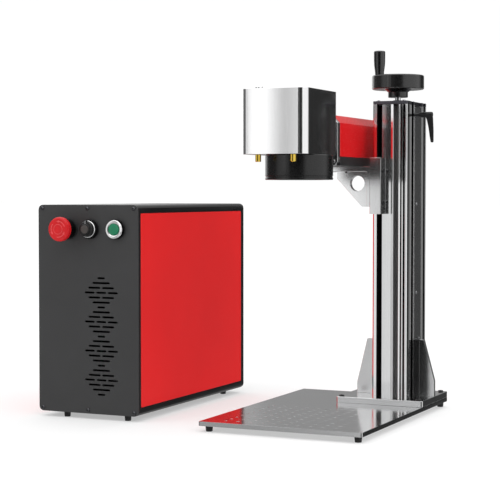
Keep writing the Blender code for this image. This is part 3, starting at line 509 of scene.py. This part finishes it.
def place_at(point, facing="+Z"):
    """The matrix that puts a shape, made in millimetres about +Z, at a layout point."""
    return Matrix.Translation(axis_point(*point)) @ TURN[facing] @ Matrix.Scale(MM, 4)


def ring_of(shape, radius, height, count, lobes=0.0, turn=0.0):
    points = []
    for i in range(count):
        angle = 2 * math.pi * i / count + turn
        reach = radius * (1 + lobes * math.cos(6 * angle))
        points.append(shape.verts.new((reach * math.cos(angle), reach * math.sin(angle), height)))
    return points


def bridge(shape, low, high):
    count = len(low)
    for i in range(count):
        j = (i + 1) % count
        shape.faces.new((low[i], low[j], high[j], high[i]))


def turned_shape(profile, count=32):
    """A closed solid of revolution about Z from (radius, height) pairs, in millimetres."""
    shape = bmesh.new()
    rings = []
    for radius, height in profile:
        if radius < 1e-6:
            rings.append([shape.verts.new((0, 0, height))])
        else:
            rings.append(ring_of(shape, radius, height, count))
    pairs = list(zip(rings, rings[1:]))
    if len(rings[0]) > 1 and len(rings[-1]) > 1:
        pairs.append((rings[-1], rings[0]))
    for low, high in pairs:
        if len(low) == 1 and len(high) == 1:
            continue
        for i in range(count):
            j = (i + 1) % count
            corners = [low[0], high[j], high[i]] if len(low) == 1 else (
                [low[i], low[j], high[0]] if len(high) == 1 else [low[i], low[j], high[j], high[i]]
            )
            shape.faces.new(corners)
    bmesh.ops.recalc_face_normals(shape, faces=shape.faces)
    return shape


def socket_screw(radius, height, socket, depth, dome=0.0, count=24):
    """A screw head with a hexagon socket; dome raises its middle like a button head."""
    shape = bmesh.new()
    edge = min(0.35, radius * 0.14)
    loops = [ring_of(shape, radius, 0.0, count), ring_of(shape, radius, height - dome - edge, count)]
    loops.append(ring_of(shape, radius - edge, height - dome, count))
    if dome:
        loops.append(ring_of(shape, radius * 0.78, height - dome * 0.35, count))
        loops.append(ring_of(shape, radius * 0.62, height - dome * 0.08, count))
    mouth = []
    for i in range(count):
        angle = 2 * math.pi * i / count
        sector = (angle + math.pi / 6) % (math.pi / 3) - math.pi / 6
        reach = socket * math.cos(math.pi / 6) / math.cos(sector)
        mouth.append((reach * math.cos(angle), reach * math.sin(angle)))
    loops.append([shape.verts.new((x * 1.06, y * 1.06, height)) for x, y in mouth])
    loops.append([shape.verts.new((x, y, height - 0.12)) for x, y in mouth])
    loops.append([shape.verts.new((x, y, height - depth)) for x, y in mouth])
    for low, high in zip(loops, loops[1:]):
        bridge(shape, low, high)
    shape.faces.new(loops[-1])
    shape.faces.new(list(reversed(loops[0])))
    bmesh.ops.recalc_face_normals(shape, faces=shape.faces)
    return shape


def cross_screw(radius, height, count=24):
    """A pan head with a cross recess, made by pressing the cross into a domed fan of points."""
    shape = bmesh.new()
    steps = 10
    rings = [ring_of(shape, radius, 0.0, count * 2)]
    for k in range(steps):
        share = 1 - k / steps
        top = height * (0.55 + 0.45 * math.cos(share * math.pi / 2))
        points = []
        for i in range(count * 2):
            angle = 2 * math.pi * i / (count * 2)
            x = radius * share * math.cos(angle)
            y = radius * share * math.sin(angle)
            arm = min(abs(x), abs(y)) < radius * 0.14 and max(abs(x), abs(y)) < radius * 0.62
            sink = height * 0.75 * (1 - share * 0.6) if arm else 0.0
            points.append(shape.verts.new((x, y, max(top - sink, height * 0.1))))
        rings.append(points)
    for low, high in zip(rings, rings[1:]):
        bridge(shape, low, high)
    centre = shape.verts.new((0, 0, height * 0.15))
    last = rings[-1]
    for i in range(len(last)):
        shape.faces.new((last[i], last[(i + 1) % len(last)], centre))
    shape.faces.new(list(reversed(rings[0])))
    bmesh.ops.recalc_face_normals(shape, faces=shape.faces)
    return shape


def plate_shape(outline, low, high):
    """A flat solid from an outline, in millimetres."""
    shape = bmesh.new()
    bottom = [shape.verts.new((x, y, low)) for x, y in outline]
    top = [shape.verts.new((x, y, high)) for x, y in outline]
    bridge(shape, bottom, top)
    shape.faces.new(list(reversed(bottom)))
    shape.faces.new(top)
    bmesh.ops.recalc_face_normals(shape, faces=shape.faces)
    return shape


def merged(shapes):
    """Several shapes, each with its matrix, as one mesh."""
    whole = bmesh.new()
    for shape, matrix in shapes:
        copy = shape.copy()
        bmesh.ops.transform(copy, matrix=matrix, verts=copy.verts)
        if matrix.determinant() < 0:
            bmesh.ops.reverse_faces(copy, faces=copy.faces)
        part = bpy.data.meshes.new("part")
        copy.to_mesh(part)
        whole.from_mesh(part)
        copy.free()
        bpy.data.meshes.remove(part)
    return whole


def piece(name, shape, material, body, bevel=0.0, angle=32):
    """Adds a shape already in the row frame as a piece that rides on a body."""
    mesh = bpy.data.meshes.new(name)
    shape.to_mesh(mesh)
    shape.free()
    obj = bpy.data.objects.new(name, mesh)
    bpy.context.scene.collection.objects.link(obj)
    mesh.materials.append(MATERIALS[material])
    mesh.shade_smooth()
    mesh.set_sharp_from_angle(angle=math.radians(angle))
    if bevel:
        step = obj.modifiers.new("edges", "BEVEL")
        step.width = bevel * MM
        step.segments = 2
        step.limit_method = "ANGLE"
        step.angle_limit = math.radians(angle)
        step.harden_normals = True
    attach(obj, body)
    return obj


def scatter(name, shape, spots, material, body):
    """The same fitting at several layout points, as one piece each."""
    for index, (point, facing) in enumerate(spots):
        made = merged([(shape, place_at(point, facing))])
        piece(f"{name}_{index + 1}", made, material, body)
    shape.free()


# ---------------------------------------------------------------- cabinet fittings

def cabinet_fittings():
    screws = [((x, -0.05, z), "-Y") for z in (341.6, 15.0) for x in (-177.4, -92.2, -7.2)]
    washer = turned_shape([(1.9, 0.0), (3.5, 0.0), (3.5, 0.35), (3.2, 0.55), (1.9, 0.55)])
    scatter("panel_washer", washer, screws, "socket_black", "machine")
    lifted = [((x, y - 0.5, z), f) for (x, y, z), f in screws]
    scatter("panel_screw", socket_screw(2.75, 1.9, 1.35, 1.2, dome=0.8), lifted, "black_nickel", "machine")

    rear = [((x, 406.3, z), "+Y") for x in (-165.0, -92.6, -20.0) for z in (29.0, 327.0)]
    scatter("rear_screw", cross_screw(3.0, 1.8), rear, "zinc", "machine")
    fan = [((-118.0 + dx, 406.3, 256.0 + dz), "+Y") for dx in (-35.8, 35.8) for dz in (-35.8, 35.8)]
    scatter("fan_screw", cross_screw(2.7, 1.7), fan, "socket_black", "machine")


def control_fittings():
    """Raised and sunk marks on the three controls."""
    estop = (-127.5, -32.9, 308.2)
    arrows = []
    for i in range(3):
        start = math.radians(120 * i + 20)
        outline = []
        for k in range(9):
            angle = start + math.radians(62) * k / 8
            outline.append((13.6 * math.cos(angle), 13.6 * math.sin(angle)))
        tip = start + math.radians(84)
        end = start + math.radians(62)
        outline += [(14.9 * math.cos(end), 14.9 * math.sin(end)),
                    (12.9 * math.cos(tip), 12.9 * math.sin(tip)),
                    (10.6 * math.cos(end), 10.6 * math.sin(end))]
        for k in range(9):
            angle = start + math.radians(62) * (8 - k) / 8
            outline.append((12.0 * math.cos(angle), 12.0 * math.sin(angle)))
        arrows.append((plate_shape(outline, -0.5, 0.22), place_at(estop, "-Y")))
    piece("estop_arrows", merged(arrows), "estop_print", "estop", bevel=0.1)
    groove = turned_shape([(7.4, -0.3), (8.3, -0.3), (8.3, 0.18), (8.1, 0.3), (7.6, 0.3), (7.4, 0.18)], 48)
    piece("estop_centre_ring", merged([(groove, place_at((-127.5, -32.95, 308.2), "-Y"))]), "estop_print",
          "estop")
    collar_profile = [(15.05, 0.0), (16.6, 0.0), (17.4, 0.5), (17.4, 1.3), (16.8, 1.8), (15.05, 1.8)]
    collar = turned_shape(collar_profile, 48)
    piece("estop_gasket", merged([(collar, place_at((-127.5, -0.3, 308.2), "-Y"))]), "rubber",
          "machine")

    sleeves = {
        "selector": (-86.8, [(14.92, 0.0), (15.4, 0.0), (15.4, 6.6), (15.1, 7.1), (14.05, 7.4), (14.05, 7.15),
                             (14.92, 6.75)]),
        "start": (-38.6, [(15.02, 0.0), (15.4, 0.0), (15.4, 7.9), (15.15, 8.2), (15.02, 8.2)]),
    }
    for name, (x, profile) in sleeves.items():
        side = turned_shape([(15.45, 0.0), (16.1, 0.0), (16.1, 1.3), (15.8, 1.8), (15.45, 1.8)], 48)
        piece(f"{name}_gasket", merged([(side, place_at((x, -0.3, 308.2), "-Y"))]), "rubber",
              "machine")
        sleeve = turned_shape(profile, 48)
        piece(f"{name}_sleeve", merged([(sleeve, place_at((x, -0.32, 308.2), "-Y"))]), "estop_black",
              "machine")
    insert = turned_shape([(0, 0.0), (6.8, 0.0), (6.8, 0.25), (6.4, 0.5), (3.2, 0.55), (0, 0.55)], 40)
    piece("selector_insert", merged([(insert, place_at((-86.8, -18.9, 308.2), "-Y"))]), "insert_brown",
          "selector")
    line = plate_shape([(-0.55, 0.0), (0.55, 0.0), (0.45, 5.4), (-0.45, 5.4)], 0.0, 0.2)
    piece("selector_mark", merged([(line, place_at((-86.8, -16.6, 316.4), "-Y"))]), "zinc",
          "selector", bevel=0.08)


cabinet_fittings()
control_fittings()


# ---------------------------------------------------------------- stand fittings

def stand_fittings():
    bolts = [((x, y, 26.1), "+Z") for x in (251.5, 385.5) for y in (248.5, 372.0)]
    scatter("plate_bolt", socket_screw(4.4, 2.4, 2.3, 1.8), bolts, "socket_black", "machine")
    inserts = []
    thread_profile = [(2.5, -3.0), (2.95, -3.0), (2.95, -0.35), (2.8, -0.2), (2.6, -0.2), (2.5, -0.4)]
    thread = turned_shape(thread_profile, 20)
    for i in range(10):
        for j in range(10):
            inserts.append((thread, place_at((164.5 + 20 * i, -19 + 20 * j, 16.3))))
    piece("grid_inserts", merged(inserts), "socket_black", "machine")
    thread.free()
    cover = [((366.95, 293.0, z), "+X") for z in (200.8, 348.0)]
    scatter("cover_screw", socket_screw(2.4, 1.1, 1.2, 0.9, dome=0.4), cover, "dull_zinc", "machine")
    cap_corners = ((315.0, 248.5), (359.0, 248.5), (315.0, 335.5), (359.0, 340.2))
    cap = [((x, y, 517.15), "+Z") for x, y in cap_corners]
    scatter("cap_screw", socket_screw(2.9, 1.6, 1.5, 1.2), cap, "zinc", "machine")
    seal = turned_shape([(5.3, 0.0), (9.0, 0.0), (9.0, 1.6), (8.2, 2.4), (5.3, 2.4)], 32)
    piece("screw_seal", merged([(seal, place_at((339.0, 277.0, 517.2)))]), "zinc", "machine")


def carriage_fittings():
    spots = [((328.6, 231.3, z), "+X") for z in (351.4, 402.8)]
    scatter("saddle_screw", socket_screw(3.3, 1.7, 1.6, 1.2), spots, "socket_black", "carriage")
    plate = [((x, 127.95, z), "-Y") for x in (186.5, 283.5) for z in (416.5, 477.5)]
    scatter("adapter_screw", socket_screw(2.6, 1.4, 1.3, 1.0), plate, "zinc", "carriage")
    rear = [((x, 404.25, z), "+Y") for x in (186.5, 283.5) for z in (416.5, 474.0)]
    scatter("housing_screw", socket_screw(2.6, 1.4, 1.3, 1.0, dome=0.5), rear, "zinc", "carriage")
    under = [((x, y, 401.95), "-Z") for x in (205.0, 265.0) for y in (236.0, 280.0)]
    scatter("arm_bolt", socket_screw(4.4, 2.4, 2.3, 1.8), under, "socket_black", "carriage")


stand_fittings()
carriage_fittings()


# ---------------------------------------------------------------- studio

# The surroundings as reflections see them: bearing from +X in degrees, and brightness.
SKY_BAND = [
    (-180, 0.14), (-155, 0.12), (-140, 0.75), (-128, 0.85), (-121, 0.50), (-115, 0.30), (-111, 0.42),
    (-108, 0.72), (-106.0, 0.95), (-104.0, 1.10), (-102.5, 0.03), (-95, 0.02), (-92, 0.09), (-86, 0.09),
    (-82, 0.02), (-52, 0.03), (-46, 1.0), (34, 1.0), (42, 0.45), (50, 0.20), (56, 0.02), (72, 0.02),
    (75, 0.08), (83, 0.28), (114, 0.30), (121, 1.3), (148, 1.3), (160, 0.12), (180, 0.14),
]
TOP_LIGHT = 1.62
UNDER_LIGHT = 0.45
FLOOR_GLOW = 0.42
FLOOR_COLOUR = (0.52, 0.52, 0.52)
FLOOR_HALF = 40.0
SKY_SCALE = 2.0  # the ramp's colours stop at 1, so levels are divided by this and multiplied back
BACKDROP = 0.505  # what the camera sees behind the machine, before SKY_SCALE
TOP_BEGINS = (0.35, 0.65)  # sines of the elevations between which the ring gives way to the top light
RING_BEGINS = (-0.5, -0.25)

# Name, centre, point it faces, size (all in layout millimetres) and radiance.
HEAD_CARDS = (
    ("head_card_narrow", (-165.0, -740.0, 512.0), (195.0, -4.0, 475.0), (110.0, 600.0), 0.46),
    ("head_card_wide", (-140.0, -740.0, 512.0), (200.0, -4.0, 475.0), (165.0, 600.0), 0.50),
)

CAMERA_PLACE = (1143.4, -2070.0, 365.6)
CAMERA_LENS = 106.93
CAMERA_SENSOR = 36.0
CAMERA_DIP = 2.179
CAMERA_TURN = 24.589


def studio_world():
    world = bpy.data.worlds.new("studio")
    bpy.context.scene.world = world
    world.use_nodes = True
    tree = world.node_tree
    tree.nodes.clear()

    def node(kind, **settings):
        made = tree.nodes.new(kind)
        for key, value in settings.items():
            setattr(made, key, value)
        return made

    def link(source, target):
        tree.links.new(source, target)

    way = node("ShaderNodeTexCoord").outputs["Generated"]
    bearing = node("ShaderNodeTexGradient", gradient_type="RADIAL")
    link(way, bearing.inputs["Vector"])
    band = node("ShaderNodeValToRGB")
    link(bearing.outputs["Fac"], band.inputs["Fac"])
    stops = band.color_ramp.elements
    while len(stops) < len(SKY_BAND):
        stops.new(0.5)
    for stop, (angle, level) in zip(stops, SKY_BAND):
        stop.position = (angle + 180) / 360
        stop.color = (*(level / SKY_SCALE,) * 3, 1)
    height = node("ShaderNodeSeparateXYZ")
    link(way, height.inputs[0])

    def ease(low, high):
        step = node("ShaderNodeMapRange", interpolation_type="SMOOTHSTEP")
        link(height.outputs["Z"], step.inputs["Value"])
        step.inputs["From Min"].default_value = low
        step.inputs["From Max"].default_value = high
        return step.outputs["Result"]

    def mix(fac, first, second):
        made = node("ShaderNodeMix", data_type="RGBA")
        link(fac, made.inputs[0])
        for socket, value in ((made.inputs[6], first), (made.inputs[7], second)):
            if isinstance(value, float):
                socket.default_value = (value, value, value, 1)
            else:
                link(value, socket)
        return made.outputs[2]

    upper = mix(ease(*TOP_BEGINS), band.outputs["Color"], TOP_LIGHT / SKY_SCALE)
    whole = mix(ease(*RING_BEGINS), UNDER_LIGHT / SKY_SCALE, upper)
    seen = node("ShaderNodeLightPath").outputs["Is Camera Ray"]
    shown = mix(seen, whole, BACKDROP)
    light = node("ShaderNodeBackground")
    link(shown, light.inputs["Color"])
    light.inputs["Strength"].default_value = SKY_SCALE
    link(light.outputs[0], node("ShaderNodeOutputWorld").inputs["Surface"])


def studio_floor():
    """White sweep under the machine; its own glow keeps the shadows pale."""
    size = FLOOR_HALF
    mesh = bpy.data.meshes.new("floor")
    corners = [(-size, -size, 0), (size, -size, 0), (size, size, 0), (-size, size, 0)]
    mesh.from_pydata(corners, [], [(0, 1, 2, 3)])
    floor = bpy.data.objects.new("floor", mesh)
    bpy.context.scene.collection.objects.link(floor)
    g = Graph("floor_white")
    g.set(
        Base_Color=FLOOR_COLOUR,
        Roughness=0.9,
        Specular_IOR_Level=0.0,
        Emission_Color=(1.0, 1.0, 1.0),
        Emission_Strength=FLOOR_GLOW,
    )
    mesh.materials.append(g.material)
    floor.visible_glossy = False


def add_card(name, centre, look_at, size, radiance):
    """A soft box that only shiny surfaces show. Centre, target and size are in millimetres."""
    data = bpy.data.lights.new(name, "AREA")
    data.shape = "RECTANGLE"
    data.size = size[0] * MM
    data.size_y = size[1] * MM
    data.energy = radiance * math.pi * data.size * data.size_y
    card = bpy.data.objects.new(name, data)
    card.location = axis_point(*centre)
    aim = Vector(axis_point(*look_at)) - card.location
    card.rotation_euler = aim.to_track_quat("-Z", "Y").to_euler()
    card.visible_camera = False
    card.visible_diffuse = False
    bpy.context.scene.collection.objects.link(card)


def add_camera():
    data = bpy.data.cameras.new("camera")
    data.sensor_width = CAMERA_SENSOR
    data.lens = CAMERA_LENS
    camera = bpy.data.objects.new("camera", data)
    camera.location = axis_point(*CAMERA_PLACE)
    camera.rotation_euler = (math.radians(90 - CAMERA_DIP), 0.0, math.radians(CAMERA_TURN))
    bpy.context.scene.collection.objects.link(camera)
    bpy.context.scene.camera = camera


studio_world()
studio_floor()
for card in HEAD_CARDS:
    add_card(*card)
add_camera()
bpy.context.scene.view_settings.view_transform = "Standard"
